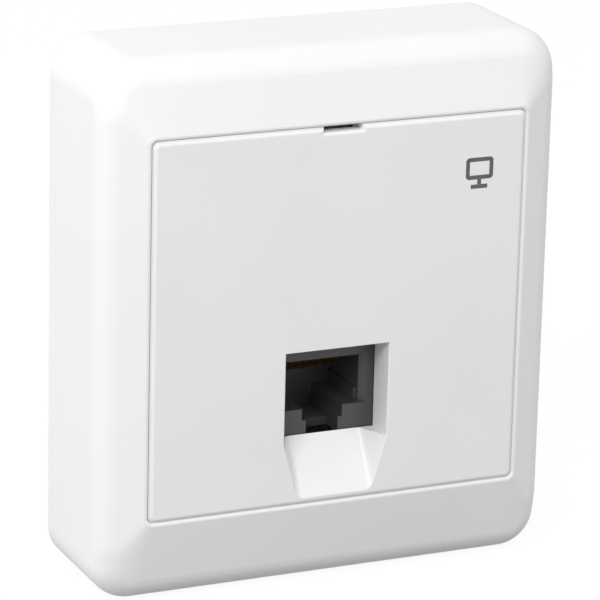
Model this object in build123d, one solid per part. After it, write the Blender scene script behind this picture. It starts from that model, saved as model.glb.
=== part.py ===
from build123d import *
import math
import os

# A surface mount data outlet: a moulded casing that hangs on a wall, with a clip-in centre
# plate in its front. One eight-way jack looks out through the plate, above a finger scoop.
# Millimetres. X runs to the right, Z up, and the wall is the plane Y = 0 behind the part,
# so the front looks along -Y. Every "out" or "reach" below is a distance out from the wall.

# Casing
casing_width = 70.2
casing_height = 78.8
casing_depth = 22.8
casing_wall = 2.0
casing_corner_radius = 5.8
bezel_drop = 3.4
crest_radius = 4.8
lip_radius = 0.45
stiffener_thickness = 1.0
stiffener_height = 1.2
stiffener_pitch = 14.0
stiffener_count = 2
breakout_width = 16.0
breakout_height = 9.0
breakout_skin = 0.8

# Centre plate, which leaves a margin of the casing at its sides, above it and below it
side_margin = 6.8
top_margin = 10.7
bottom_margin = 13.1
plate_thickness = 2.0
plate_corner_radius = 0.8
plate_edge_radius = 0.55
plate_gap = 0.2
seat_gap = 0.1
pry_width = 5.9
pry_height = 0.6
pry_relief = 1.6

# Seat that carries the plate inside the casing
seat_width = 3.5
seat_thickness = 1.8
ear_width = 7.0
ear_height = 9.0
ear_floor = 1.5

# Spring clips behind the plate
clip_width = 7.0
clip_thickness = 1.2
clip_length = 4.6
clip_gap = 0.35
clip_nib = 0.22
clip_nib_length = 1.0
clip_inset = 7.0

# Opening and finger scoop in the plate
port_width = 16.0
port_height = 14.05
port_recess = 4.7
scoop_margin = 0.8
scoop_height = 7.9
scoop_floor_width = 11.5
scoop_crease_radius = 1.3
scoop_lip_radius = 0.2
sleeve_wall = 1.3

# Screws
screw_head_radius = 2.6
screw_head_height = 1.7
screw_shank_radius = 1.4
screw_length = 10.0
screw_fit = 0.05
screw_head_room = 0.25
drive_width = 0.7
drive_span = 3.0
drive_depth = 0.9
board_screw_length = 4.6
board_screw_scale = 0.8

# Base plate
base_thickness = 2.0
base_gap = 0.25
base_rim = 1.2
base_rim_inset = 0.6
base_rim_reach = 5.0
post_radius = 3.2
pillar_radius = 2.4
wall_slot_inset = 9.4
wall_slot_length = 7.0
wall_slot_width = 4.4
wall_slot_collar = 1.2
wall_slot_collar_reach = 3.2
entry_width = 16.0
entry_height = 11.0
entry_corner_radius = 2.0
entry_side_inset = 15.1
entry_top_inset = 11.4
tie_bridge_width = 3.0
tie_bridge_length = 8.0
tie_bridge_thickness = 1.4
tie_bridge_reach = 5.4

# Circuit board
board_thickness = 1.6
board_standoff = 1.8
board_corner_radius = 1.5
board_side_margin = 1.4
board_top_margin = 2.5
board_bottom_margin = 3.25
board_post_gap = 0.5
board_screw_side_inset = 3.7
board_screw_rise = 9.5
board_pillar_x = 8.0
board_pillar_drop = 2.9
pin_hole_radius = 0.38
pin_hole_sides = 8

# Jack
jack_width = 17.0
jack_top_overlap = 0.85
jack_bottom_overlap = 0.45
jack_gap = 0.2
mouth_width = 11.9
mouth_drop = 3.45
mouth_height = 6.9
mouth_lead = 0.9
mouth_lead_depth = 0.9
latch_width = 6.3
latch_depth = 1.75
key_width = 5.0
key_depth = 1.15
jack_back_wall = 1.8
jack_front_wall = 1.5
rail_height = 1.8
rail_thickness = 0.4
carrier_side_gap = 0.1
carrier_top_wall = 1.2
carrier_floor = 0.25
carrier_setback = 2.9
peg_radius = 1.5
peg_spread = 12.0
peg_length = 1.3
peg_fit = 0.06

# Contact wires of the jack
wire_count = 8
wire_pitch = 1.02
wire_size = 0.4
wire_fit = 0.06
wire_run_rise = 1.6
wire_stagger = 0.9
wire_tail = 1.0
wire_jog_start = 1.2
wire_jog_length = 1.6
wire_nose_setback = 2.15
wire_nose_drop = 2.0
wire_nose_back = 0.3
wire_tip_gap = 1.5
wire_tip_drop = 3.9
wire_bend = 0.45

# Terminal block
terminal_pitch = 4.0
terminal_height = 12.0
terminal_bar = 3.0
terminal_reach = 10.0
terminal_fin = 1.6
terminal_fin_taper = 0.5
terminal_post_gap = 0.8
blade_thickness = 0.5
blade_fit = 0.1
blade_reach = 8.2
blade_slit = 0.4
blade_slit_depth = 4.6
blade_mouth = 0.45
blade_tail_width = 0.6
blade_tail = 1.0
blade_stagger = 2.5

# One overrun carries every cut past the face that it leaves by
overrun = 1.0

# Places that follow from the sizes above, as distances out from the wall
seat_front = casing_depth - plate_thickness - seat_gap
seat_back = seat_front - seat_thickness
plate_back = casing_depth - plate_thickness
crest_out = casing_depth - bezel_drop
cavity_crest_out = seat_back - bezel_drop / 2
ear_back = seat_front - screw_head_height - screw_head_room - ear_floor
board_back = base_thickness + board_standoff
board_front = board_back + board_thickness
jack_front = casing_depth - port_recess - jack_gap
carrier_reach = jack_front - carrier_setback
wire_nose_reach = jack_front - wire_nose_setback
wire_tip_reach = board_front + jack_back_wall + wire_tip_gap

# Sizes and places on the front, as X and Z from the middle of the casing
plate_width = casing_width - 2 * side_margin
plate_height = casing_height - top_margin - bottom_margin
plate_z = (bottom_margin - top_margin) / 2
pocket_width = plate_width + 2 * plate_gap
pocket_height = plate_height + 2 * plate_gap
window_width = pocket_width - 2 * seat_width
window_height = pocket_height - 2 * seat_width
ear_x = window_width / 2 - ear_width / 2
clip_x = window_width / 2 - clip_inset
scoop_bottom_z = plate_z - plate_height / 2 + scoop_margin
port_bottom_z = scoop_bottom_z + scoop_height
port_top_z = port_bottom_z + port_height
port_middle_z = (port_top_z + port_bottom_z) / 2
jack_top_z = port_top_z + jack_top_overlap
jack_bottom_z = port_bottom_z - jack_bottom_overlap
mouth_top_z = port_top_z - mouth_drop
wire_run_z = mouth_top_z + wire_run_rise
wire_tip_z = mouth_top_z - wire_tip_drop
terminal_width = wire_count * terminal_pitch + terminal_fin
terminal_bottom_z = plate_z + post_radius + terminal_post_gap
terminal_middle_z = terminal_bottom_z + terminal_height / 2
board_width = terminal_width + 2 * board_side_margin
board_bottom_z = jack_bottom_z - board_bottom_margin
board_top_z = terminal_bottom_z + terminal_height + board_top_margin
board_screw_x = board_width / 2 - board_screw_side_inset
board_screw_z = board_bottom_z + board_screw_rise
board_pillar_z = board_top_z - board_pillar_drop
wall_slot_z = casing_height / 2 - wall_slot_inset
entry_x = casing_width / 2 - entry_side_inset
entry_z = casing_height / 2 - entry_top_inset


def slab(outline, near, far):
    """A solid with a flat outline in X and Z, from one distance out from the wall to another."""
    return extrude(Plane.XZ.offset(near) * outline, amount=far - near)


def block(width, height, near, far, x=0, z=0):
    """A rectangular block, centred at a place on the front."""
    return slab(Pos(x, z) * Rectangle(width, height), near, far)


def rod(radius, near, far, x=0, z=0):
    """A round bar that stands out from the wall."""
    return slab(Pos(x, z) * Circle(radius), near, far)


def pair(shape):
    """A shape at the right and its mirror image at the left."""
    return shape + mirror(shape, about=Plane.YZ)


def pocket_outline():
    """The outline of the pocket that the centre plate drops into."""
    return Pos(0, plate_z) * RectangleRounded(pocket_width, pocket_height, plate_corner_radius)


def turn_of(pair_of_edges):
    """How far round the middle of the plate a low edge and the high edge above it lie."""
    middle = pair_of_edges[0].center()
    return math.atan2(middle.Z - plate_z, middle.X)


def bezel_side(low, high):
    """One side of the bezel: flat between two straight edges, and ruled between two corner arcs."""
    if low.geom_type == GeomType.LINE:
        return Face(Wire.make_polygon([low @ 0, low @ 1, high @ 1, high @ 0]))
    return Face.make_surface_from_curves(low, high)


def casing_form(inset, crest, front):
    """The casing's outside, or its hollow: straight walls, then a bezel that leans in to the plate."""
    width = casing_width - 2 * inset
    height = casing_height - 2 * inset
    foot = RectangleRounded(width, height, casing_corner_radius - inset)
    low = Plane.XZ.offset(crest) * foot
    high = Plane.XZ.offset(front) * pocket_outline()
    matched = sorted(zip(low.edges(), high.edges()), key=turn_of)
    sides = [bezel_side(low_edge, high_edge) for low_edge, high_edge in matched]
    brow = Solid(Shell([low.face(), high.face(), *sides]))
    return slab(foot, 0, crest) + brow


def seat_ears():
    """Two ears on the seat, with a sunk floor for each screw that holds the casing to its base."""
    ear = block(ear_width + overrun, ear_height, ear_back, seat_front, ear_x + overrun / 2, plate_z)
    sink_floor = ear_back + ear_floor
    ear -= rod(screw_head_radius + screw_head_room, sink_floor, seat_front + overrun, ear_x, plate_z)
    ear -= rod(screw_shank_radius + screw_fit, ear_back - overrun, sink_floor + overrun, ear_x, plate_z)
    return pair(ear)


def stiffeners():
    """Low ribs up the inside of both side walls."""
    inner_x = casing_width / 2 - casing_wall
    rib_x = inner_x - stiffener_height / 2 + overrun / 2
    ribs = Part()
    for step in range(1, stiffener_count + 1):
        for end in (-1, 1):
            ribs += block(stiffener_height + overrun, stiffener_thickness, base_rim_reach, cavity_crest_out,
                          rib_x, end * step * stiffener_pitch)
    return pair(ribs)


def breakouts():
    """Thinned panels inside the top and bottom walls, to be cut out where a cable runs on the surface."""
    skin_z = casing_height / 2 - breakout_skin
    depth = casing_wall - breakout_skin
    panel = block(breakout_width, depth + overrun, base_rim_reach, base_rim_reach + breakout_height,
                  0, skin_z - depth / 2 - overrun / 2)
    return panel + mirror(panel, about=Plane.XY)


def make_hood():
    """The casing: one shell, open to the wall, with a pocket and a seat for the centre plate."""
    shell = casing_form(0, crest_out, casing_depth)
    crest_edges = shell.edges().filter_by_position(Axis.Y, -crest_out, -crest_out)
    shell = fillet(crest_edges, crest_radius)
    shell -= casing_form(casing_wall, cavity_crest_out, seat_back)
    shell -= slab(pocket_outline(), seat_front, casing_depth + overrun)
    shell -= block(window_width, window_height, seat_back - overrun, seat_front + overrun, 0, plate_z)
    notch_width = port_width + 2 * sleeve_wall + 2 * clip_gap
    notch_z = plate_z - window_height / 2 - seat_width / 2
    shell -= block(notch_width, seat_width, seat_back - overrun, seat_front + overrun, 0, notch_z)
    relief_z = plate_z + pocket_height / 2 - pry_relief / 2
    shell -= block(pry_width, pry_relief, seat_back - overrun, seat_front + overrun, 0, relief_z)
    front_edges = shell.edges().filter_by_position(Axis.Y, -casing_depth, -casing_depth)
    shell = fillet(front_edges, lip_radius)
    shell += seat_ears()
    shell += stiffeners() & casing_form(0, crest_out, casing_depth)
    shell -= breakouts()
    return shell


def tunnel_form(grow):
    """The square tunnel through the plate, in front of the jack."""
    return block(port_width + 2 * grow, port_height + 2 * grow, casing_depth - port_recess, casing_depth,
                 0, port_middle_z)


def scoop_form(grow):
    """The finger scoop below the tunnel: a leaning trough that runs up a slope from the plate's face."""
    slant = math.hypot(scoop_height, port_recess)
    depth = port_recess * scoop_height / slant
    lean = (port_width - scoop_floor_width) / 2 / depth
    high = 2 * depth
    foot = scoop_floor_width / 2 + grow
    head = foot + lean * (high + grow)
    trough = make_face(Polyline((-foot, grow), (foot, grow), (head, -high), (-head, -high), close=True))
    creases = trough.vertices().sort_by(Axis.Y)[-2:]
    trough = fillet(creases, scoop_crease_radius + grow)
    foot_point = (0, -casing_depth, scoop_bottom_z)
    slope = Plane(origin=foot_point, x_dir=(1, 0, 0), z_dir=(0, port_recess, scoop_height))
    swept = extrude(slope.offset(-high) * trough, amount=slant + 2 * high)
    limit_low = scoop_bottom_z - high
    limit = block(2 * head, port_bottom_z - limit_low, casing_depth - port_recess, casing_depth + high, 0,
                  (port_bottom_z + limit_low) / 2)
    return swept & limit


def plate_clips():
    """Four spring legs behind the plate, each with a nib that catches behind the seat."""
    reach = plate_back - clip_length
    leg_z = window_height / 2 - clip_gap - clip_thickness / 2
    nib_z = window_height / 2 - clip_gap + clip_nib / 2
    nib_front = seat_back - seat_gap
    legs = Part()
    for side in (-1, 1):
        for end in (-1, 1):
            x = side * clip_x
            legs += block(clip_width, clip_thickness, reach, plate_back, x, plate_z + end * leg_z)
            legs += block(clip_width, clip_nib, nib_front - clip_nib_length, nib_front, x,
                          plate_z + end * nib_z)
    return legs


def make_centre_plate():
    """The centre plate, with its rounded edge, sleeve, scoop, pry notch and clips."""
    outline = Pos(0, plate_z) * RectangleRounded(plate_width, plate_height, plate_corner_radius)
    plate = slab(outline, plate_back, casing_depth)
    top_z = plate_z + plate_height / 2
    plate -= block(pry_width, 2 * pry_height, plate_back - overrun, casing_depth + overrun, 0, top_z)
    front_edges = plate.edges().filter_by_position(Axis.Y, -casing_depth, -casing_depth)
    plate = fillet(front_edges, plate_edge_radius)
    within = slab(outline, 0, plate_back + plate_thickness / 2)
    plate += (tunnel_form(sleeve_wall) + scoop_form(sleeve_wall)) & within
    plate -= block(port_width, port_height, casing_depth - port_recess - overrun, casing_depth + overrun,
                   0, port_middle_z)
    plate -= scoop_form(0)
    plate = fillet(lip_edges(plate), scoop_lip_radius)
    plate += plate_clips()
    return plate


def lip_edges(plate):
    """The edges at both sides of the opening in the plate's face, down the port and the scoop."""
    front = plate.edges().filter_by_position(Axis.Y, -casing_depth, -casing_depth)
    reach = port_width / 2 + plate_gap
    return [edge for edge in front
            if plate_gap < abs(edge.center().X) < reach and scoop_bottom_z < edge.center().Z < port_top_z]


def make_base_plate():
    """The base: a flat tray that is screwed to the wall and carries the board and the casing."""
    width = casing_width - 2 * casing_wall - 2 * base_gap
    height = casing_height - 2 * casing_wall - 2 * base_gap
    radius = casing_corner_radius - casing_wall - base_gap
    base = slab(RectangleRounded(width, height, radius), 0, base_thickness)
    rim_width = width - 2 * base_rim_inset
    rim_height = height - 2 * base_rim_inset
    rim_outer = RectangleRounded(rim_width, rim_height, radius - base_rim_inset)
    rim_inner = Rectangle(rim_width - 2 * base_rim, rim_height - 2 * base_rim)
    base += slab(rim_outer - rim_inner, base_thickness, base_rim_reach)
    base += pair(rod(post_radius, 0, ear_back, ear_x, plate_z))
    base += pair(rod(pillar_radius, 0, board_back, board_screw_x, board_screw_z))
    base += pair(rod(pillar_radius, 0, board_back, board_pillar_x, board_pillar_z))
    base += wall_slots(wall_slot_collar, 0, wall_slot_collar_reach)
    base -= wall_slots(0, -overrun, wall_slot_collar_reach + overrun)
    entry = Pos(-entry_x, entry_z) * RectangleRounded(entry_width, entry_height, entry_corner_radius)
    base -= slab(entry, -overrun, base_thickness + overrun)
    base -= pair(rod(screw_shank_radius + screw_fit, ear_back + ear_floor - screw_length - overrun / 2,
                     ear_back + overrun, ear_x, plate_z))
    board_shank = screw_shank_radius * board_screw_scale
    base -= pair(rod(board_shank + screw_fit, board_front - board_screw_length, board_back + overrun,
                     board_screw_x, board_screw_z))
    base += tie_bridge()
    return base


def wall_slots(grow, near, far):
    """Two upright slots, one above the other, for the screws that hold the base to the wall."""
    slot = SlotOverall(wall_slot_length + 2 * grow, wall_slot_width + 2 * grow, rotation=90)
    slots = Part()
    for end in (-1, 1):
        slots += slab(Pos(0, end * wall_slot_z) * slot, near, far)
    return slots


def tie_bridge():
    """A small bridge that a cable tie goes under."""
    bridge = block(tie_bridge_length, tie_bridge_width, 0, tie_bridge_reach, entry_x, entry_z)
    hollow = tie_bridge_length - 2 * tie_bridge_thickness
    bridge -= block(hollow, tie_bridge_width + overrun, base_thickness,
                    tie_bridge_reach - tie_bridge_thickness, entry_x, entry_z)
    return bridge


def make_screw(x, z, seat, length, scale):
    """A pan head screw with a cross recess, seated at a distance out from the wall."""
    top = seat + screw_head_height * scale
    head = rod(screw_head_radius * scale, seat, top, x, z)
    head = chamfer(head.edges().filter_by_position(Axis.Y, -top, -top), (top - seat) / 2)
    screw = head + rod(screw_shank_radius * scale, seat - length, seat, x, z)
    cross = Rectangle(drive_span * scale, drive_width * scale)
    cross += Rectangle(drive_width * scale, drive_span * scale)
    screw -= slab(Pos(x, z) * cross, top - drive_depth * scale, top + overrun)
    return screw


def wire_x(index):
    """The place across the jack of one contact wire."""
    return (index - (wire_count - 1) / 2) * wire_pitch


def terminal_x(index):
    """The place across the block of one terminal."""
    return (index - (wire_count - 1) / 2) * terminal_pitch


def wire_tail_z(index):
    """The height at which a wire's tail goes through the board: every second one is raised."""
    return wire_run_z + (index % 2) * wire_stagger


def blade_z(index):
    """The height of a terminal's blade: every second one is raised."""
    return terminal_middle_z + (index % 2 - 1 / 2) * blade_stagger


def make_circuit_board():
    """The board, drilled for the screws, the jack's pegs and all the pins, and cut clear of the posts."""
    outline = Pos(0, (board_top_z + board_bottom_z) / 2) * RectangleRounded(
        board_width, board_top_z - board_bottom_z, board_corner_radius)
    for index in range(wire_count):
        outline -= Pos(wire_x(index), wire_tail_z(index)) * RegularPolygon(pin_hole_radius, pin_hole_sides)
        outline -= Pos(terminal_x(index), blade_z(index)) * RegularPolygon(
            pin_hole_radius + wire_fit, pin_hole_sides)
    for side in (-1, 1):
        outline -= Pos(side * peg_spread / 2, peg_z()) * Circle(peg_radius + peg_fit)
        outline -= Pos(side * board_screw_x, board_screw_z) * Circle(screw_shank_radius)
        outline -= Pos(side * ear_x, plate_z) * Circle(post_radius + board_post_gap)
    return slab(outline, board_back, board_front)


def peg_z():
    """The height of the two pegs behind the jack."""
    return mouth_top_z - mouth_height


def make_jack_housing():
    """The jack: a moulded block with its mouth, latch way, lead-in and a bay for the contacts."""
    height = jack_top_z - jack_bottom_z
    middle_z = (jack_top_z + jack_bottom_z) / 2
    jack = block(jack_width, height, board_front, jack_front, 0, middle_z)
    inner = board_front + jack_back_wall
    mouth_z = mouth_top_z - mouth_height / 2
    jack -= block(mouth_width, mouth_height, inner, jack_front + overrun, 0, mouth_z)
    latch_z = mouth_top_z - mouth_height - latch_depth / 2
    jack -= block(latch_width, latch_depth, inner, jack_front + overrun, 0, latch_z)
    key_z = mouth_top_z - mouth_height - latch_depth - key_depth / 2
    jack -= block(key_width, key_depth, inner, jack_front + overrun, 0, key_z)
    jack -= mouth_lead_in(mouth_z)
    bay_top = jack_top_z - carrier_top_wall
    bay_bottom = mouth_top_z - carrier_floor
    jack -= block(mouth_width, bay_top - bay_bottom, board_front - overrun, jack_front - jack_front_wall,
                  0, (bay_top + bay_bottom) / 2)
    rail = block(rail_thickness, rail_height, inner, jack_front - jack_front_wall,
                 mouth_width / 2 - rail_thickness / 2, mouth_top_z - mouth_height + rail_height / 2)
    jack += pair(rail)
    jack += pair(rod(peg_radius, board_front - peg_length, board_front, peg_spread / 2, peg_z()))
    return jack


def mouth_lead_in(mouth_z):
    """The sloping edge round the top and sides of the mouth, which guides the plug in."""
    inner = Pos(0, mouth_z) * Rectangle(mouth_width, mouth_height)
    grown_height = mouth_height + mouth_lead / 2
    outer = Pos(0, mouth_z + mouth_lead / 4) * Rectangle(mouth_width + 2 * mouth_lead, grown_height)
    return loft([Plane.XZ.offset(jack_front - mouth_lead_depth) * inner, Plane.XZ.offset(jack_front) * outer])


def make_contact_carrier():
    """The slotted block in the top of the jack that holds the contact wires apart."""
    top = jack_top_z - carrier_top_wall
    bottom = mouth_top_z - carrier_floor
    width = mouth_width - 2 * carrier_side_gap
    carrier = block(width, top - bottom, board_front, carrier_reach, 0, (top + bottom) / 2)
    floor = wire_run_z - wire_size / 2
    for index in range(wire_count):
        carrier -= block(wire_size + 2 * wire_fit, top - floor + overrun, board_front - overrun,
                         carrier_reach + overrun, wire_x(index), (top + floor + overrun) / 2)
    return carrier


def make_contact_wire(index):
    """One contact: up through the board, forward in its slot, then folded back down into the mouth."""
    tail_z = wire_tail_z(index)
    jog = board_front + wire_jog_start
    points = [(-(board_back - wire_tail), tail_z)]
    if index % 2:
        points.append((-jog, tail_z))
        points.append((-(jog + wire_jog_length), wire_run_z))
    points.append((-wire_nose_reach, wire_run_z))
    points.append((-(wire_nose_reach - wire_nose_back), wire_run_z - wire_nose_drop))
    points.append((-wire_tip_reach, wire_tip_z))
    route = Plane.YZ.offset(wire_x(index)) * FilletPolyline(*points, radius=wire_bend)
    start = Plane(origin=route @ 0, z_dir=route % 0, x_dir=(1, 0, 0))
    return sweep(start * Rectangle(wire_size, wire_size), path=route)


def make_terminal_block():
    """The block on the board that the cable's wires are punched into: a bar with nine tapered fins."""
    base_out = board_front + terminal_bar
    block_out = board_front + terminal_reach
    body = block(terminal_width, terminal_height, board_front, base_out, 0, terminal_middle_z)
    for index in range(wire_count + 1):
        x = terminal_x(index) - terminal_pitch / 2
        foot = Pos(x, terminal_middle_z) * Rectangle(terminal_fin, terminal_height)
        tip = Pos(x, terminal_middle_z) * Rectangle(terminal_fin - terminal_fin_taper, terminal_height)
        body += loft([Plane.XZ.offset(base_out) * foot, Plane.XZ.offset(block_out) * tip])
    for index in range(wire_count):
        body -= block(blade_tail_width + 2 * blade_fit, blade_thickness + 2 * blade_fit,
                      board_front - overrun, base_out + overrun, terminal_x(index), blade_z(index))
    return body


def make_terminal_contact(index):
    """One slotted blade: its slit cuts through a wire's sheath and grips the copper."""
    base_out = board_front + terminal_bar
    tip_out = board_front + blade_reach
    width = terminal_pitch - terminal_fin - 2 * blade_fit
    x = terminal_x(index)
    blade_plane = Plane.XY.offset(blade_z(index) - blade_thickness / 2)
    tail_end = -(board_back - blade_tail)
    half_tail = blade_tail_width / 2
    half_slit = blade_slit / 2
    half_mouth = half_slit + blade_mouth
    right = [(half_tail, tail_end), (half_tail, -base_out), (width / 2, -base_out), (width / 2, -tip_out),
             (half_mouth, -tip_out), (half_slit, -(tip_out - blade_mouth)),
             (half_slit, -(tip_out - blade_slit_depth))]
    left = [(-across, along) for across, along in reversed(right)]
    outline = Pos(x, 0) * make_face(Polyline(*right, *left, close=True))
    return extrude(blade_plane * outline, amount=blade_thickness)


def make_parts():
    """Every sub-part under its node's name."""
    parts = {
        "hood": make_hood(),
        "centre_plate": make_centre_plate(),
        "base_plate": make_base_plate(),
        "circuit_board": make_circuit_board(),
        "jack_housing": make_jack_housing(),
        "contact_carrier": make_contact_carrier(),
        "terminal_block": make_terminal_block(),
    }
    for index in range(wire_count):
        parts[f"contact_wire_{index + 1}"] = make_contact_wire(index)
        parts[f"terminal_contact_{index + 1}"] = make_terminal_contact(index)
    for name, side in (("left", -1), ("right", 1)):
        parts[f"hood_screw_{name}"] = make_screw(
            side * ear_x, plate_z, ear_back + ear_floor, screw_length, 1)
        parts[f"board_screw_{name}"] = make_screw(
            side * board_screw_x, board_screw_z, board_front, board_screw_length, board_screw_scale)
    return parts


os.makedirs("parts", exist_ok=True)
for node, solid in make_parts().items():
    export_step(solid, f"parts/{node}.step")
    print(node, round(solid.volume, 2))
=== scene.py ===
# %% [markdown]
# # A surface mount data outlet
# This lesson dresses a finished CAD model of a small white wall box that holds one data jack.
# The shapes come from the CAD file and stay as they are. Blender adds what the eye reads on a
# shape: the satin of moulded plastic, the plating on the contacts, the print on the plate, the
# copper under the board's lacquer, and a soft white studio round it all.

# %% Load the frame
import bpy
import bmesh
import math
from mathutils import Matrix, Vector


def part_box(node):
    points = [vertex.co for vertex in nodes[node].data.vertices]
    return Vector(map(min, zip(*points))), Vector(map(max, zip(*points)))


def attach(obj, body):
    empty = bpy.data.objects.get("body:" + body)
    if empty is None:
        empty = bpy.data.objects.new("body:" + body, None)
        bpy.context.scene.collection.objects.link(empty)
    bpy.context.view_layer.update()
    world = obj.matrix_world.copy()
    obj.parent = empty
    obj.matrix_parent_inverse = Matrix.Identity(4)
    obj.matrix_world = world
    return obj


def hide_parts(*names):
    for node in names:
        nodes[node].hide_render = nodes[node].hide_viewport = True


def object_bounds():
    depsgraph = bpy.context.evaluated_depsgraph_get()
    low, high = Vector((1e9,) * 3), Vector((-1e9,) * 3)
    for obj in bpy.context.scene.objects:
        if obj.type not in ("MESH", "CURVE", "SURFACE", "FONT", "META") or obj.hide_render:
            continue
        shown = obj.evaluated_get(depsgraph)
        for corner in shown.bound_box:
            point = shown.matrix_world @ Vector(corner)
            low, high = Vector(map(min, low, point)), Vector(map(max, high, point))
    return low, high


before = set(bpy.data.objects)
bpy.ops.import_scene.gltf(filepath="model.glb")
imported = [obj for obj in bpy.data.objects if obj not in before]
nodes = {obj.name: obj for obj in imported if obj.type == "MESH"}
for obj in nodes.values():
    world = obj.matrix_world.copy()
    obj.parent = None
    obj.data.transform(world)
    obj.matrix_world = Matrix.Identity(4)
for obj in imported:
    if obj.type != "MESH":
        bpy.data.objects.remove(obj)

MM = 0.001
cad_low, cad_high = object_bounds()
print("nodes:", len(nodes), "box in mm:", [round((b - a) / MM, 1) for a, b in zip(cad_low, cad_high)])

# %% [markdown]
# Every length on the object is written in millimetres and turned to metres by one value. The plate's
# face, the board's face, and the places of the jack and the terminals are read from the CAD boxes, so
# that a new piece always sits on what carries it.

# %% Places that the new pieces share
plate_low, plate_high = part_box("centre_plate")
jack_low, jack_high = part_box("jack_housing")
plate_face = plate_low.y
board_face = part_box("circuit_board")[0].y
terminal_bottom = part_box("terminal_block")[0].z
print("plate face at", round(plate_face / MM, 2), "mm, board face at", round(board_face / MM, 2), "mm")

# %% [markdown]
# ## Helpers for materials
# Colours are written as the sRGB hex values that a paint chart or a picture gives. Shaders work in
# linear light, so one function turns hex to linear. Another adds a node, sets it and links it, which
# keeps each material short enough to read as a recipe. A Mix node has several sockets of one name,
# so its colour sockets are picked by their place in the list.

# %% Colour and node helpers
mix_first, mix_second, mix_colour = 6, 7, 2


def tone(code):
    """An sRGB hex colour as linear red, green, blue and alpha."""
    parts = [int(code[i:i + 2], 16) / 255 for i in (1, 3, 5)]
    return [p / 12.92 if p <= 0.04045 else ((p + 0.055) / 1.055) ** 2.4 for p in parts] + [1.0]


def add(tree, kind, inputs=None, **settings):
    """A node with its settings; each input is a value or the socket that feeds it."""
    node = tree.nodes.new(kind)
    for name, value in settings.items():
        setattr(node, name, value)
    for name, value in (inputs or {}).items():
        if isinstance(value, bpy.types.NodeSocket):
            tree.links.new(value, node.inputs[name])
        else:
            node.inputs[name].default_value = value
    return node


def empty_tree(owner):
    """The node tree of a material or a world, with nothing in it."""
    owner.use_nodes = True
    owner.node_tree.nodes.clear()
    return owner.node_tree


def start_material(name):
    """A material, its tree, its Principled shader and the coordinates of the object that wears it."""
    material = bpy.data.materials.new(name)
    tree = empty_tree(material)
    shader = add(tree, "ShaderNodeBsdfPrincipled")
    add(tree, "ShaderNodeOutputMaterial", {"Surface": shader.outputs["BSDF"]})
    place = add(tree, "ShaderNodeTexCoord").outputs["Object"]
    return material, tree, shader, place


print("the plate's white as linear:", [round(v, 3) for v in tone("#EFEFEF")])

# %% [markdown]
# ## Moulded plastic
# The casing and the plate are injection moulded ABS. The mould's steel is spark eroded to a fine
# satin grain, so a highlight is broad and soft and never mirror sharp. ABS has an IOR of about 1.54.
# White ABS isn't one flat white: the melt flows and cools unevenly, which leaves clouds some
# centimetres wide, far too faint to point at but enough to stop the surface looking like paper.
# The recipe is noise at two scales: the clouds go to the colour and a little to the roughness, and
# the grain goes to the bump. True grain is about 0.1 mm, finer than a pixel here, so it is drawn
# about three times coarser.

# %% Satin moulded plastic
plastic_ior = 1.54
cloud_start, cloud_end = 0.3, 0.7
polish_spread = 0.03
grain_strength = 0.35


def moulded_plastic(name, light, dark, roughness, grain_mm, grain_depth_mm, cloud_mm):
    """Injection moulded plastic with a satin, spark eroded skin."""
    material, tree, shader, place = start_material(name)
    clouds = add(tree, "ShaderNodeTexNoise",
                 {"Vector": place, "Scale": 1 / (cloud_mm * MM), "Detail": 2.0, "Roughness": 0.5})
    cloud_ramp = add(tree, "ShaderNodeMapRange",
                     {"Value": clouds.outputs["Fac"], "From Min": cloud_start, "From Max": cloud_end})
    colour = add(tree, "ShaderNodeMix",
                 {"Factor": cloud_ramp.outputs["Result"], mix_first: tone(dark), mix_second: tone(light)},
                 data_type="RGBA")
    grain = add(tree, "ShaderNodeTexNoise",
                {"Vector": place, "Scale": 1 / (grain_mm * MM), "Detail": 3.0, "Roughness": 0.6})
    polish = add(tree, "ShaderNodeMapRange",
                 {"Value": clouds.outputs["Fac"],
                  "To Min": roughness - polish_spread, "To Max": roughness + polish_spread})
    bump = add(tree, "ShaderNodeBump",
               {"Height": grain.outputs["Fac"], "Strength": grain_strength, "Distance": grain_depth_mm * MM})
    tree.links.new(colour.outputs[mix_colour], shader.inputs["Base Color"])
    tree.links.new(polish.outputs["Result"], shader.inputs["Roughness"])
    tree.links.new(bump.outputs["Normal"], shader.inputs["Normal"])
    shader.inputs["IOR"].default_value = plastic_ior
    return material


# %% The box's six plastics
white_abs_casing = moulded_plastic("white_abs_casing", "#F0F0EF", "#EDEDEC", roughness=0.48,
                                   grain_mm=0.30, grain_depth_mm=0.012, cloud_mm=30)
white_abs_plate = moulded_plastic("white_abs_plate", "#EFEFEF", "#ECECEC", roughness=0.38,
                                  grain_mm=0.26, grain_depth_mm=0.008, cloud_mm=24)
white_abs_base = moulded_plastic("white_abs_base", "#E6E6E3", "#E2E2DF", roughness=0.55,
                                 grain_mm=0.40, grain_depth_mm=0.02, cloud_mm=26)
black_jack = moulded_plastic("black_pbt_jack", "#424243", "#3D3D3E", roughness=0.34,
                             grain_mm=0.24, grain_depth_mm=0.008, cloud_mm=5)
black_carrier = moulded_plastic("black_pbt_carrier", "#1C1C1D", "#19191A", roughness=0.5,
                                grain_mm=0.24, grain_depth_mm=0.012, cloud_mm=5)
grey_terminal = moulded_plastic("pale_grey_pbt_terminal", "#D2D2CC", "#CACAC4", roughness=0.45,
                                grain_mm=0.24, grain_depth_mm=0.012, cloud_mm=6)
for made in (white_abs_casing, white_abs_plate, white_abs_base, black_jack, black_carrier, grey_terminal):
    print("plastic:", made.name, "nodes:", len(made.node_tree.nodes))

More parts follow.
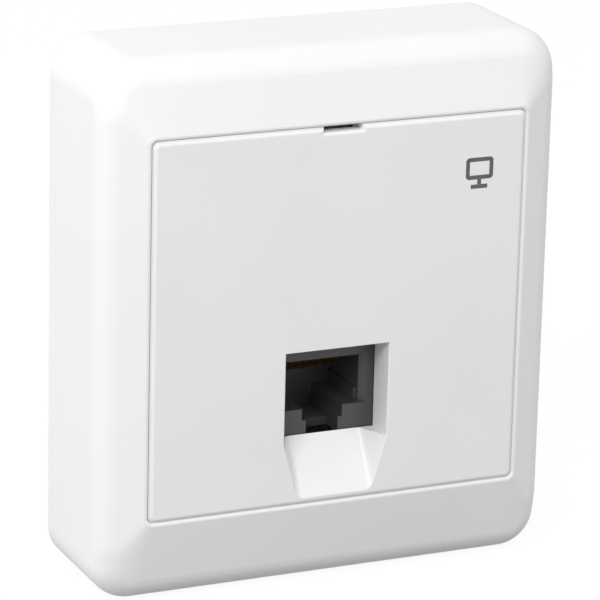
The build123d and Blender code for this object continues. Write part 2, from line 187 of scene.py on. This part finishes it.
# %% [markdown]
# ## Metals
# The jack's wires are phosphor bronze with a thin gold plating, the terminals are tinned bronze, and
# the screws are zinc plated steel. Plating follows the metal under it, and drawn wire and stamped
# blades carry fine lines along their length. A zinc plated screw is a little cloudy. All three are
# metals, so metallic is 1 and the IOR stays at its default. The lines are noise that is stretched
# along one axis; the screw's has the same scale on all three, which leaves clouds.

# %% Plated metals
duller, brighter = 0.08, 0.06


def plated_metal(name, light, dark, roughness, line_mm, stretch):
    """A plated metal with fine lines left by drawing or stamping."""
    material, tree, shader, place = start_material(name)
    along = add(tree, "ShaderNodeMapping", {"Vector": place, "Scale": stretch})
    lines = add(tree, "ShaderNodeTexNoise",
                {"Vector": along.outputs["Vector"], "Scale": 1 / (line_mm * MM), "Detail": 2.0})
    colour = add(tree, "ShaderNodeMix",
                 {"Factor": lines.outputs["Fac"], mix_first: tone(dark), mix_second: tone(light)},
                 data_type="RGBA")
    polish = add(tree, "ShaderNodeMapRange",
                 {"Value": lines.outputs["Fac"],
                  "To Min": roughness - brighter, "To Max": roughness + duller})
    tree.links.new(colour.outputs[mix_colour], shader.inputs["Base Color"])
    tree.links.new(polish.outputs["Result"], shader.inputs["Roughness"])
    shader.inputs["Metallic"].default_value = 1.0
    return material


gold_plate = plated_metal("gold_plated_bronze", "#E6C068", "#CFA447", roughness=0.28,
                          line_mm=0.3, stretch=(1.0, 0.15, 1.0))
tin_plate = plated_metal("tinned_bronze", "#D6D4CE", "#C2C0BA", roughness=0.38,
                         line_mm=0.3, stretch=(1.0, 0.2, 1.0))
zinc_plate = plated_metal("zinc_plated_steel", "#CFD2D4", "#B5B9BD", roughness=0.34,
                          line_mm=0.5, stretch=(1.0, 1.0, 1.0))
print("metals:", gold_plate.name, tin_plate.name, zinc_plate.name)

# %% [markdown]
# ## Circuit board and ink
# The board is glass fibre laminate under a green lacquer called solder resist. The weave of the glass
# just shows through as a fine check about 0.5 mm apart, and the lacquer is glossy. The ink of the pad
# print on the plate is a flat dark grey with a slightly dry surface.

# %% Lacquered laminate, copper under lacquer, and ink
wave_length = 0.3
weave_depth = 0.01 * MM
weave_strength = 0.2


def lacquered_laminate(name, light, dark, weave_mm):
    """Glass fibre laminate under green solder resist."""
    material, tree, shader, place = start_material(name)
    waves = [add(tree, "ShaderNodeTexWave", {"Vector": place, "Scale": wave_length / (weave_mm * MM)},
                 bands_direction=direction) for direction in ("X", "Z")]
    weave = add(tree, "ShaderNodeMath",
                {0: waves[0].outputs["Fac"], 1: waves[1].outputs["Fac"]}, operation="MULTIPLY")
    colour = add(tree, "ShaderNodeMix",
                 {"Factor": weave.outputs["Value"], mix_first: tone(dark), mix_second: tone(light)},
                 data_type="RGBA")
    bump = add(tree, "ShaderNodeBump",
               {"Height": weave.outputs["Value"], "Strength": weave_strength, "Distance": weave_depth})
    tree.links.new(colour.outputs[mix_colour], shader.inputs["Base Color"])
    tree.links.new(bump.outputs["Normal"], shader.inputs["Normal"])
    shader.inputs["Roughness"].default_value = 0.25
    shader.inputs["Coat Weight"].default_value = 0.4
    shader.inputs["Coat Roughness"].default_value = 0.12
    return material


board_green = lacquered_laminate("green_solder_resist", "#1F6B3C", "#175630", weave_mm=0.5)
trace_green = lacquered_laminate("green_resist_over_copper", "#3D8C52", "#358049", weave_mm=0.5)
print_ink = moulded_plastic("grey_pad_print_ink", "#5E5E5E", "#555555", roughness=0.6,
                            grain_mm=0.15, grain_depth_mm=0.004, cloud_mm=1.5)
print("board and ink:", board_green.name, trace_green.name, print_ink.name)

# %% [markdown]
# ## Dress the CAD parts
# A CAD part keeps its mesh. Only the material in its slots changes. Curved CAD faces arrive as
# triangles with their true normals, so they shade smooth and nothing has to be done to them.

# %% Give each CAD part its material
finishes = {
    "hood": white_abs_casing,
    "centre_plate": white_abs_plate,
    "base_plate": white_abs_base,
    "circuit_board": board_green,
    "jack_housing": black_jack,
    "contact_carrier": black_carrier,
    "terminal_block": grey_terminal,
    "contact_wire": gold_plate,
    "terminal_contact": tin_plate,
    "hood_screw": zinc_plate,
    "board_screw": zinc_plate,
}
for name, part in nodes.items():
    finish = next(f for start, f in finishes.items() if name.startswith(start))
    part.data.materials.clear()
    part.data.materials.append(finish)
print("dressed:", len(nodes), "parts with", len(set(finishes.values())), "materials")

# %% [markdown]
# ## The jack's key notch and its soft edges
# In the bottom of the jack's mouth, a notch is cut right through at the front, where the plug's key
# goes in. The CAD body has a thin floor there, so a finished copy of it stands in its place. The copy
# is merged into one skin, and a plain cutter takes the notch out with a Boolean modifier. That is
# surer than moving points by hand, because the notch meets three walls at once. The cutter runs
# past the jack's front and bottom, and a little way up into the mouth, so that no film is left.

# %% A cutter for the notch
notch_width, notch_reach, notch_top = 5.0 * MM, 3.8 * MM, 1.25 * MM
run_past, run_up = 1.0 * MM, 0.1 * MM


def object_from(mesh, name):
    """The bmesh as an object in the scene."""
    data = bpy.data.meshes.new(name)
    mesh.to_mesh(data)
    mesh.free()
    made = bpy.data.objects.new(name, data)
    bpy.context.scene.collection.objects.link(made)
    return made


def cutting_block(low, high):
    """A plain block between two corners, used only to cut."""
    mesh = bmesh.new()
    place = Matrix.Translation((low + high) / 2) @ Matrix.Diagonal((*(high - low), 1))
    bmesh.ops.create_cube(mesh, size=1.0, matrix=place)
    return object_from(mesh, "cutter")


cutter = cutting_block(
    Vector((-notch_width / 2, jack_low.y - run_past, jack_low.z - run_past)),
    Vector((notch_width / 2, jack_low.y + notch_reach, jack_low.z + notch_top + run_up)))
print("notch in mm:", notch_width / MM, "wide,", notch_reach / MM, "deep")

# %% Cut a merged copy of the jack
same_place = 0.001 * MM

skin = bmesh.new()
skin.from_mesh(nodes["jack_housing"].data)
bmesh.ops.remove_doubles(skin, verts=skin.verts[:], dist=same_place)
bmesh.ops.recalc_face_normals(skin, faces=skin.faces[:])
for face in skin.faces:
    face.smooth = False
jack_body = object_from(skin, "jack_body")
faces_before = len(jack_body.data.polygons)
cut = jack_body.modifiers.new("key_notch", "BOOLEAN")
cut.operation, cut.solver, cut.object = "DIFFERENCE", "EXACT", cutter
bpy.context.view_layer.update()
cut_jack = jack_body.evaluated_get(bpy.context.evaluated_depsgraph_get())
jack_body.data = bpy.data.meshes.new_from_object(cut_jack)
jack_body.modifiers.clear()
bpy.data.objects.remove(cutter)
print("jack faces:", faces_before, "before the cut,", len(jack_body.data.polygons), "after it")

# %% [markdown]
# A moulded edge is never sharp, so a Bevel modifier rounds each edge that turns by more than 40
# degrees: the steps of the mouth then show the thin bright line of a real moulding.

# %% Round its edges and put it in the CAD jack's place
edge_radius, edge_steps, sharp_turn = 0.16 * MM, 3, math.radians(40)

jack_body.data.materials.clear()
jack_body.data.materials.append(black_jack)
rounding = jack_body.modifiers.new("soft_edges", "BEVEL")
rounding.width, rounding.segments = edge_radius, edge_steps
rounding.limit_method, rounding.angle_limit = "ANGLE", sharp_turn
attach(jack_body, "casing")
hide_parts("jack_housing")
print("jack edges rounded to", round(edge_radius / MM, 2), "mm")

# %% [markdown]
# ## Flat forms on a face
# The print, the plate's step and the copper tracks are all thin forms that lie on a flat face, so
# they share a few helpers. A flat face is laid down facing the front. A rounded frame is such a face
# with its corners bevelled, then inset, with the middle taken out. Thickening extrudes all of it.
# Extruding leaves the faces in an order that changes from run to run, so they are sorted at the end
# by where they lie along a slant, and by area where two lie at one place. Then every run is the same.

# %% Helpers for flat forms
corner_steps = 4
sorting_slant = Vector((1.0, math.sqrt(3), math.sqrt(5)))


def flat_face(mesh, x, z, width, height, y):
    """The corners of a rectangle that faces the front, centred at a place on the part."""
    place = Matrix.Translation((x, y, z)) @ Matrix.Rotation(math.radians(90), 4, "X")
    made = bmesh.ops.create_grid(mesh, x_segments=1, y_segments=1, size=0.5, matrix=Matrix.Identity(4))
    bmesh.ops.scale(mesh, vec=(width, height, 1), verts=made["verts"])
    bmesh.ops.transform(mesh, matrix=place, verts=made["verts"])
    return made["verts"]


def rounded_frame(mesh, x, z, width, height, y, corner, stroke):
    """A frame that faces the front, with rounded corners, laid down in a mesh that is still empty."""
    corners = flat_face(mesh, x, z, width, height, y)
    bmesh.ops.bevel(mesh, geom=corners, offset=corner, affect="VERTICES", segments=corner_steps,
                    profile=0.5, material=-1)
    bmesh.ops.inset_region(mesh, faces=mesh.faces[:], thickness=stroke, use_boundary=True,
                           use_even_offset=True)
    middle = max(mesh.faces, key=lambda face: face.calc_area())
    bmesh.ops.delete(mesh, geom=[middle], context="FACES_ONLY")


def points_of(made):
    """The points among what an operator made."""
    return [item for item in made["geom"] if isinstance(item, bmesh.types.BMVert)]


def thicken(mesh, distance):
    """Extrude all faces by a distance towards the wall, or towards the front if it is below zero."""
    pushed = bmesh.ops.extrude_face_region(mesh, geom=mesh.faces[:])
    bmesh.ops.translate(mesh, vec=(0, distance, 0), verts=points_of(pushed))


def finish_piece(mesh, name, material, body):
    """The bmesh as an object that rides on a body, with its faces sorted and turned outwards."""
    mesh.faces.sort(key=lambda face: face.calc_center_median().dot(sorting_slant) + face.calc_area())
    bmesh.ops.recalc_face_normals(mesh, faces=mesh.faces[:])
    piece = object_from(mesh, name)
    piece.data.materials.append(material)
    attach(piece, body)
    print(name, "faces:", len(piece.data.polygons), "on", body)


print("each rounded corner has", corner_steps, "steps")

# %% [markdown]
# ## The print on the plate
# A small printed sign in the plate's upper right corner tells what the outlet is for. Here it is the
# plain screen on a stand that marks any data outlet. Pad printing lays down a film of ink a few
# hundredths of a millimetre thick. A rounded frame makes the screen, two flat faces make the stem
# and the foot, and all of it is thickened by the film.

# %% Screen, stem and foot
ink_film = 0.02 * MM
sign_x, sign_z = 21.3 * MM, 20.9 * MM
screen_width, screen_height, screen_corner, stroke = 4.3 * MM, 3.2 * MM, 0.55 * MM, 0.6 * MM
stem_height, foot_width = 0.75 * MM, 2.6 * MM

sign = bmesh.new()
rounded_frame(sign, sign_x, sign_z, screen_width, screen_height, plate_face, screen_corner, stroke)
stem_z = sign_z - screen_height / 2 - stem_height / 2
flat_face(sign, sign_x, stem_z, stroke, stem_height, plate_face)
flat_face(sign, sign_x, stem_z - stem_height / 2 - stroke / 2, foot_width, stroke, plate_face)
thicken(sign, -ink_film)
finish_piece(sign, "printed_sign", print_ink, "plate")

# %% [markdown]
# ## The step round the plate
# Behind its rounded edge the plate has a fine step that nearly closes the gap to the casing. Light
# that falls into the gap meets white plastic close below, so the gap reads as a soft grey line. The
# step is a rounded frame with its front half a millimetre behind the plate's face. Two straight cuts
# leave it open where the pry slot is, and then it is thickened towards the back.

# %% Frame in the gap, open at the pry slot
step_reach, step_seat, step_thickness = 0.15 * MM, 0.2 * MM, 0.3 * MM
step_corner = 0.8 * MM
step_face = plate_face + 0.5 * MM
slot_half = 2.95 * MM
plate_x, plate_z = (plate_low.x + plate_high.x) / 2, (plate_low.z + plate_high.z) / 2

edge_step = bmesh.new()
rounded_frame(edge_step, plate_x, plate_z, plate_high.x - plate_low.x + 2 * step_reach,
              plate_high.z - plate_low.z + 2 * step_reach, step_face, step_corner, step_reach + step_seat)
for side in (-1, 1):
    bmesh.ops.bisect_plane(edge_step, geom=edge_step.verts[:] + edge_step.edges[:] + edge_step.faces[:],
                           plane_co=(side * slot_half, 0, 0), plane_no=(1, 0, 0))
in_slot = [face for face in edge_step.faces
           if abs(face.calc_center_median().x) < slot_half and face.calc_center_median().z > plate_z]
bmesh.ops.delete(edge_step, geom=in_slot, context="FACES")
thicken(edge_step, step_thickness)
finish_piece(edge_step, "plate_step", white_abs_plate, "plate")

# %% [markdown]
# ## Copper on the board
# Eight copper tracks carry the signals from the jack to the terminals. They fan out from the jack's
# close spacing of 1.02 mm to the terminals' 4 mm. Under the lacquer they show as paler green lines
# that stand up by about 0.04 mm. Each track is one flat face, pulled along its path by extruding its
# leading edge and moving it. Then all are thickened.

# %% Fanned tracks
wire_pitch, terminal_pitch, track_count = 1.02 * MM, 4.0 * MM, 8
track_width, track_height, first_length = 0.45 * MM, 0.04 * MM, 0.4 * MM
under_jack, under_terminal = 0.6 * MM, 0.8 * MM
straight_at_jack, straight_at_terminal = 1.2 * MM, 0.8 * MM
track_start = jack_high.z - under_jack
track_end = terminal_bottom + under_terminal

tracks = bmesh.new()
for index in range(track_count):
    step = index - (track_count - 1) / 2
    near_x, far_x = step * wire_pitch, step * terminal_pitch
    stops = [(near_x, track_start + straight_at_jack), (far_x, track_end - straight_at_terminal),
             (far_x, track_end)]
    corners = flat_face(tracks, near_x, track_start, track_width, first_length, board_face)
    lead = max((edge for edge in corners[0].link_faces[0].edges),
               key=lambda edge: (edge.verts[0].co.z + edge.verts[1].co.z))
    for x, z in stops:
        lead_middle = (lead.verts[0].co + lead.verts[1].co) / 2
        grown = bmesh.ops.extrude_edge_only(tracks, edges=[lead])
        new_points = points_of(grown)
        bmesh.ops.translate(tracks, vec=(x - lead_middle.x, 0, z - lead_middle.z), verts=new_points)
        lead = next(item for item in grown["geom"]
                    if isinstance(item, bmesh.types.BMEdge) and all(v in new_points for v in item.verts))
thicken(tracks, -track_height)
finish_piece(tracks, "copper_tracks", trace_green, "casing")

# %% [markdown]
# ## The studio
# The object stands in a white studio. The floor is drawn nearly white where the camera or a
# reflection sees it, with a trace of the object's shadow, and is a middle grey for light that bounces
# off it, so that it doesn't flood the underside. From here on, lengths are in metres.

# %% Floor
floor_half_size = 6.0
floor_bounce, floor_seen = "#989898", "#FFFFFF"
floor_glow, glow_share = 1.02, 0.9
white_light = (1, 1, 1, 1)


def seen_directly(tree):
    """1 for a ray from the camera or a reflection, and 0 for light that bounces between surfaces."""
    path = add(tree, "ShaderNodeLightPath")
    camera_or_glossy = add(tree, "ShaderNodeMath",
                           {0: path.outputs["Is Camera Ray"], 1: path.outputs["Is Glossy Ray"]},
                           operation="MAXIMUM")
    any_of_them = add(tree, "ShaderNodeMath",
                      {0: camera_or_glossy.outputs["Value"], 1: path.outputs["Is Transmission Ray"]},
                      operation="MAXIMUM")
    return any_of_them.outputs["Value"]


floor_mesh = bmesh.new()
bmesh.ops.create_grid(floor_mesh, x_segments=1, y_segments=1, size=floor_half_size,
                      matrix=Matrix.Translation((0, 0, cad_low.z)))
floor = object_from(floor_mesh, "studio_floor")
print("floor at", round(cad_low.z / MM, 2), "mm")

# %% The floor's paper
floor_paper = bpy.data.materials.new("white_studio_paper")
tree = empty_tree(floor_paper)
direct = seen_directly(tree)
paper = add(tree, "ShaderNodeMix",
            {"Factor": direct, mix_first: tone(floor_bounce), mix_second: tone(floor_seen)},
            data_type="RGBA")
matt = add(tree, "ShaderNodeBsdfDiffuse", {"Color": paper.outputs[mix_colour]})
glow = add(tree, "ShaderNodeEmission", {"Color": white_light, "Strength": floor_glow})
share = add(tree, "ShaderNodeMath", {0: direct, 1: glow_share}, operation="MULTIPLY")
surface = add(tree, "ShaderNodeMixShader",
              {0: share.outputs["Value"], 1: matt.outputs["BSDF"], 2: glow.outputs["Emission"]})
add(tree, "ShaderNodeOutputMaterial", {"Surface": surface.outputs["Shader"]})
floor.data.materials.append(floor_paper)
print("floor material:", floor_paper.name, "nodes:", len(tree.nodes))

# %% [markdown]
# An even sky gives most of the light, so no shadow is hard. It is seen as pure white, and lights the
# object with less than that.

# %% Sky
sky_light, sky_seen = 0.67, 1.0

world = bpy.data.worlds.new("studio_sky")
tree = empty_tree(world)
strength = add(tree, "ShaderNodeMapRange",
               {"Value": seen_directly(tree), "To Min": sky_light, "To Max": sky_seen})
sky = add(tree, "ShaderNodeBackground", {"Color": white_light, "Strength": strength.outputs["Result"]})
add(tree, "ShaderNodeOutputWorld", {"Surface": sky.outputs["Background"]})
bpy.context.scene.world = world
print("sky light:", sky_light)

# %% [markdown]
# Three soft lamps shape the light: one at the upper left, which reaches into the port and leaves a
# soft shadow under its top edge, one at the left side, and a weak one at the upper right, which lifts
# the scoop. So the top and the left side come out lightest, the plate a little darker, and the right
# and lower slopes darkest, as in a catalogue picture.

# %% Lamps
lamp_distance = 0.6


def soft_lamp(name, direction, size, level):
    """A square soft lamp that looks at the object. level is the light it gives a facing white surface."""
    lamp = bpy.data.lights.new(name, "AREA")
    lamp.shape = "SQUARE"
    lamp.size = size
    lamp.energy = level * math.pi ** 2 * lamp_distance ** 2
    holder = bpy.data.objects.new(name, lamp)
    towards = Vector(direction).normalized()
    holder.location = towards * lamp_distance
    holder.rotation_mode = "QUATERNION"
    holder.rotation_quaternion = towards.to_track_quat("Z", "Y")
    bpy.context.scene.collection.objects.link(holder)
    print(name, "energy", round(lamp.energy, 2), "W")


soft_lamp("key_lamp", direction=(-0.55, -0.62, 0.56), size=0.22, level=0.405)
soft_lamp("side_lamp", direction=(-0.95, 0.12, 0.28), size=0.5, level=0.37)
soft_lamp("right_lamp", direction=(0.42, -0.66, 0.62), size=0.25, level=0.14)

# %% [markdown]
# ## The camera
# The camera stands left of, above and in front of the outlet, far off with a long lens, so the lines
# hardly converge. Its place was found by matching the plate's corners and the port's edges. It turns
# right by 24.4 degrees, looks down by 17.3 degrees and is rolled by 1.4 degrees. The offset says how
# far the middle of the plate lies right of, below and in front of the lens.

# %% Where the camera stands and looks
turn, tilt, roll = math.radians(24.37), math.radians(17.26), math.radians(-1.42)
offset = Vector((5.52, 2.26, 535.75)) * MM

ahead = Vector((math.sin(turn) * math.cos(tilt), math.cos(turn) * math.cos(tilt), -math.sin(tilt)))
level_right = Vector((math.cos(turn), -math.sin(turn), 0))
level_down = ahead.cross(level_right)
right = level_right * math.cos(roll) + level_down * math.sin(roll)
down = level_down * math.cos(roll) - level_right * math.sin(roll)
plate_middle = Vector((0, plate_face, plate_z))
stand = plate_middle - right * offset.x - down * offset.y - ahead * offset.z
print("camera at", [round(v / MM, 1) for v in stand], "mm")

# %% Camera at the picture's angle
lens = bpy.data.cameras.new("camera")
lens.sensor_width = 36.0
lens.lens = 228.0
lens.clip_start, lens.clip_end = 0.01, 50.0
camera = bpy.data.objects.new("camera", lens)
camera.matrix_world = Matrix((
    (right.x, -down.x, -ahead.x, stand.x),
    (right.y, -down.y, -ahead.y, stand.y),
    (right.z, -down.z, -ahead.z, stand.z),
    (0, 0, 0, 1)))
bpy.context.scene.collection.objects.link(camera)
bpy.context.scene.camera = camera
bpy.context.scene.view_settings.view_transform = "Standard"
print("lens in mm:", lens.lens)
